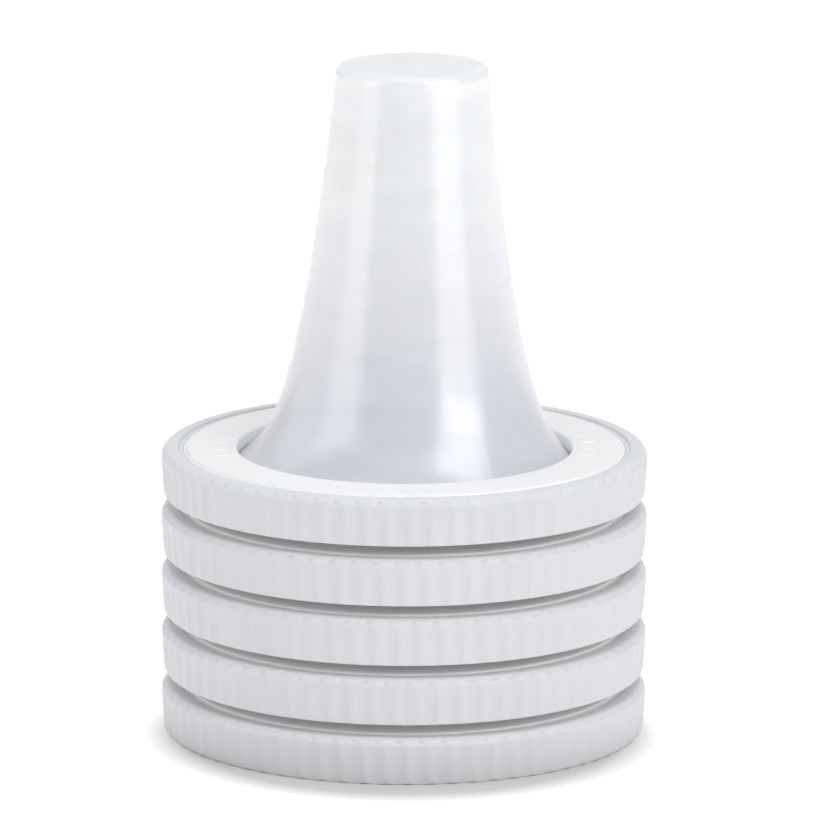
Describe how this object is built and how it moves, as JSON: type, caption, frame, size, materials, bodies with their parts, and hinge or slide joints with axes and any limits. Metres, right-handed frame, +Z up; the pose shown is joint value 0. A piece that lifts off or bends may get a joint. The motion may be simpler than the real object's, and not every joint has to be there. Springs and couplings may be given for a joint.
{
  "type": "stack of ear thermometer probe covers",
  "caption": "Stack of nested disposable ear-thermometer probe covers: knurled white plastic rings, each carrying a closed cone of thin translucent film, nested cone in cone.",
  "frame": {"origin": "centre of the bottom ring's underside, in the plane that the stack stands on", "axes": "+Z up along the common axis of the cones; +X and +Y across the rings"},
  "size_m": [0.026, 0.026, 0.036],
  "materials": {
    "ring_plastic": "moulded white polypropylene, fine matte texture",
    "clamp_plastic": "moulded white polypropylene, smooth matte",
    "film": "thermoformed translucent film, glossy, slightly milky"
  },
  "bodies": {
    "cover_1": {"grip_ring_1": "ring_plastic", "film_cone_1": "film", "clamp_ring_1": "clamp_plastic"},
    "cover_2": {"grip_ring_2": "ring_plastic", "film_cone_2": "film", "clamp_ring_2": "clamp_plastic"},
    "cover_3": {"grip_ring_3": "ring_plastic", "film_cone_3": "film", "clamp_ring_3": "clamp_plastic"},
    "cover_4": {"grip_ring_4": "ring_plastic", "film_cone_4": "film", "clamp_ring_4": "clamp_plastic"},
    "cover_5": {"grip_ring_5": "ring_plastic", "film_cone_5": "film", "clamp_ring_5": "clamp_plastic"}
  },
  "joints": [
    {"name": "cover_2_lift", "type": "slide", "parent": "cover_1", "child": "cover_2", "axis": [0, 0, 1], "range_m": [0, 0.025]},
    {"name": "cover_3_lift", "type": "slide", "parent": "cover_2", "child": "cover_3", "axis": [0, 0, 1], "range_m": [0, 0.025]},
    {"name": "cover_4_lift", "type": "slide", "parent": "cover_3", "child": "cover_4", "axis": [0, 0, 1], "range_m": [0, 0.025]},
    {"name": "cover_5_lift", "type": "slide", "parent": "cover_4", "child": "cover_5", "axis": [0, 0, 1], "range_m": [0, 0.025]}
  ]
}
